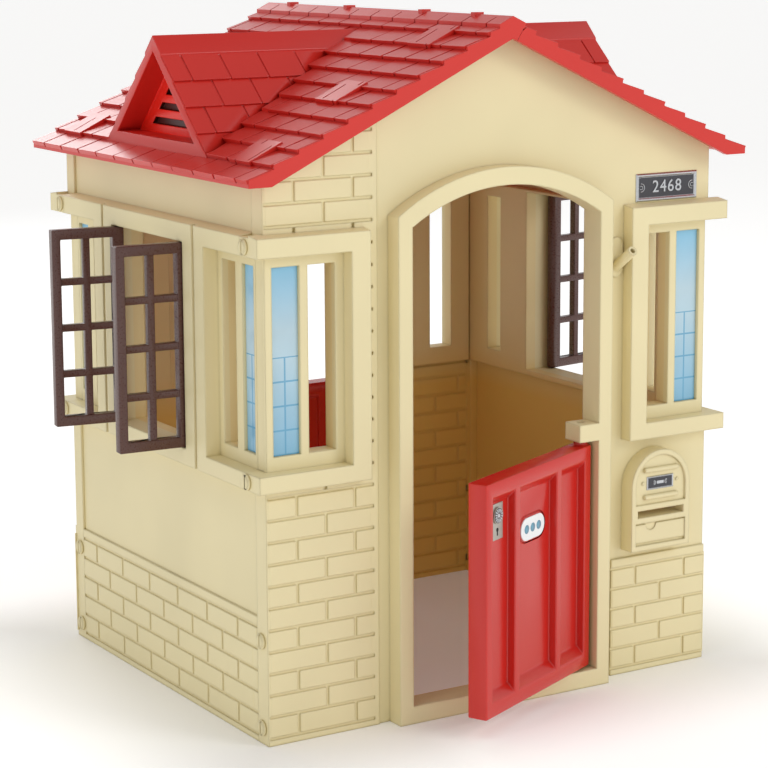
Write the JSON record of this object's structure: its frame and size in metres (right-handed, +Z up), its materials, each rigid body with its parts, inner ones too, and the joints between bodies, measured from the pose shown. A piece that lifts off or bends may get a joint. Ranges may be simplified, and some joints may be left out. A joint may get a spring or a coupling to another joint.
{
  "type": "toddler's plastic playhouse",
  "caption": "Moulded plastic cottage playhouse with swinging half doors, window shutters, brick-pattern walls, a mailbox and a red shingled roof with dormers.",
  "frame": {"origin": "underside of the front doorway's threshold, in the plane of the front wall's brick faces and on the centre line of the house", "axes": "+X to the right seen from in front, +Y from the front wall into the house, +Z up"},
  "size_m": [1.1588, 0.9492, 1.1597],
  "materials": {
    "beige_plastic": "rotomoulded sand-beige polyethylene, faintly grained satin",
    "red_plastic": "moulded red polyethylene, satin",
    "brown_plastic": "dark brown moulded polyethylene, satin",
    "blue_film": "pale blue printed film on a flat panel, glossy",
    "dark_plate": "black plate with a bright rim",
    "pale_plate": "pale printed plate, glossy",
    "brass_plate": "pale brass-look plate, satin"
  },
  "bodies": {
    "house": {"front_wall": "beige_plastic", "back_wall": "beige_plastic", "left_wall": "beige_plastic", "right_wall": "beige_plastic", "roof_left": "red_plastic", "roof_right": "red_plastic", "dormer_left": "red_plastic", "dormer_right": "red_plastic", "front_panes": "blue_film", "back_panes": "blue_film", "left_panes": "blue_film", "right_panes": "blue_film", "number_plate": "dark_plate", "mailbox_badge": "pale_plate", "corner_screws": "beige_plastic"},
    "front_door": {"front_door": "red_plastic", "lock_plate": "brass_plate", "door_badge": "pale_plate"},
    "back_door": {"back_door": "red_plastic"},
    "shutter_left_near": {"shutter_left_near": "brown_plastic"},
    "shutter_left_far": {"shutter_left_far": "brown_plastic"},
    "shutter_right_near": {"shutter_right_near": "brown_plastic"},
    "shutter_right_far": {"shutter_right_far": "brown_plastic"}
  },
  "joints": [
    {"name": "front_door_hinge", "type": "hinge", "parent": "house", "child": "front_door", "pos_m": [0.167, -0.004, 0.23], "axis": [0, 0, 1], "range_deg": [-25.5, 64.5]},
    {"name": "back_door_hinge", "type": "hinge", "parent": "house", "child": "back_door", "pos_m": [-0.167, 0.736, 0.23], "axis": [0, 0, 1], "range_deg": [0, 90]},
    {"name": "left_near_shutter_hinge", "type": "hinge", "parent": "house", "child": "shutter_left_near", "pos_m": [-0.46, 0.245, 0.622], "axis": [0, 0, 1], "range_deg": [-86, 22]},
    {"name": "left_far_shutter_hinge", "type": "hinge", "parent": "house", "child": "shutter_left_far", "pos_m": [-0.46, 0.487, 0.622], "axis": [0, 0, -1], "range_deg": [-99, 9]},
    {"name": "right_near_shutter_hinge", "type": "hinge", "parent": "house", "child": "shutter_right_near", "pos_m": [0.46, 0.245, 0.622], "axis": [0, 0, -1], "range_deg": [-86, 22]},
    {"name": "right_far_shutter_hinge", "type": "hinge", "parent": "house", "child": "shutter_right_far", "pos_m": [0.46, 0.487, 0.622], "axis": [0, 0, 1], "range_deg": [-99, 9]}
  ]
}
